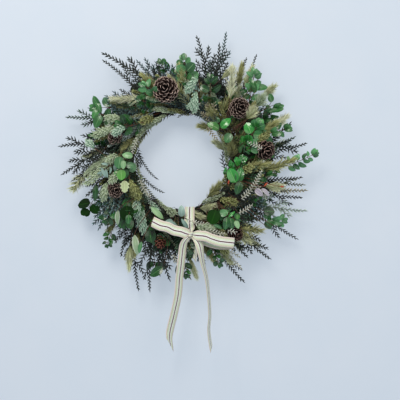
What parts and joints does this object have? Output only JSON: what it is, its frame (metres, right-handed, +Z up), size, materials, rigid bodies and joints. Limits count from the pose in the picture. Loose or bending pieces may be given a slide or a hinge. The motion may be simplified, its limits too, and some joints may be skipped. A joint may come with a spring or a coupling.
{
  "type": "pine cone wreath",
  "caption": "Round wall wreath of mixed evergreen sprigs, oval leaves and pine cones wired round a twisted vine hoop, with a striped ribbon bow and long tails.",
  "frame": {"origin": "where a wall nail carries the hoop: on the inner surface of the vine hoop at its top, halfway through its depth", "axes": "+Z up, with the ribbon's tails hanging down; +X to the right as seen; -Y out of the front, towards the viewer, and +Y into the wall"},
  "size_m": [0.6492, 0.1145, 0.8067],
  "materials": {
    "vine_bark": "rough brown bark",
    "binding_wire": "green enamelled wire",
    "needle_foliage": "dark matt green needles on brown twigs",
    "oval_leaves": "half-gloss green leaves",
    "plume_foliage": "soft matt yellow-olive brush",
    "scale_foliage": "pale matt sage green",
    "cone_scales": "dark brown woody scales with paler tips",
    "ribbon_cloth": "woven ivory ribbon with lengthwise stripes"
  },
  "bodies": {
    "root": {"binding_wire": "binding_wire", "cone_left": "cone_scales", "cone_low_left": "cone_scales", "cone_low_right": "cone_scales", "cone_right": "cone_scales", "cone_top": "cone_scales", "cone_top_right": "cone_scales", "cone_upper_left": "cone_scales", "leaf_bottom": "oval_leaves", "leaf_crown": "oval_leaves", "leaf_face_left": "oval_leaves", "leaf_face_low_left": "oval_leaves", "leaf_face_low_right": "oval_leaves", "leaf_face_right": "oval_leaves", "leaf_face_top": "oval_leaves", "leaf_face_upper_left": "oval_leaves", "leaf_glossy": "oval_leaves", "leaf_hole_top": "oval_leaves", "leaf_left_round": "oval_leaves", "leaf_left_upper": "oval_leaves", "leaf_right_long": "oval_leaves", "leaf_right_low": "oval_leaves", "leaf_right_mid": "oval_leaves", "leaf_right_upper": "oval_leaves", "leaf_top_right": "oval_leaves", "needle_bottom": "needle_foliage", "needle_bottom_left": "needle_foliage", "needle_bottom_right": "needle_foliage", "needle_crown": "needle_foliage", "needle_crown_left": "needle_foliage", "needle_left": "needle_foliage", "needle_left_lower": "needle_foliage", "needle_left_upper": "needle_foliage", "needle_low_left": "needle_foliage", "needle_low_right": "needle_foliage", "needle_right": "needle_foliage", "needle_right_long": "needle_foliage", "needle_right_pale": "needle_foliage", "needle_right_upper": "needle_foliage", "needle_top_left": "needle_foliage", "needle_top_right": "needle_foliage", "needle_top_thick": "needle_foliage", "needle_top_twig": "needle_foliage", "plume_bottom_left": "plume_foliage", "plume_face_left": "plume_foliage", "plume_hole": "plume_foliage", "plume_left": "plume_foliage", "plume_low_right": "plume_foliage", "plume_right": "plume_foliage", "plume_top": "plume_foliage", "plume_top_right": "plume_foliage", "plume_upper_left": "plume_foliage", "ribbon": "ribbon_cloth", "scale_face_left": "scale_foliage", "scale_hole_top": "scale_foliage", "scale_left": "scale_foliage", "scale_low_left": "scale_foliage", "vine_1": "vine_bark", "vine_2": "vine_bark", "vine_3": "vine_bark"}
  },
  "joints": []
}
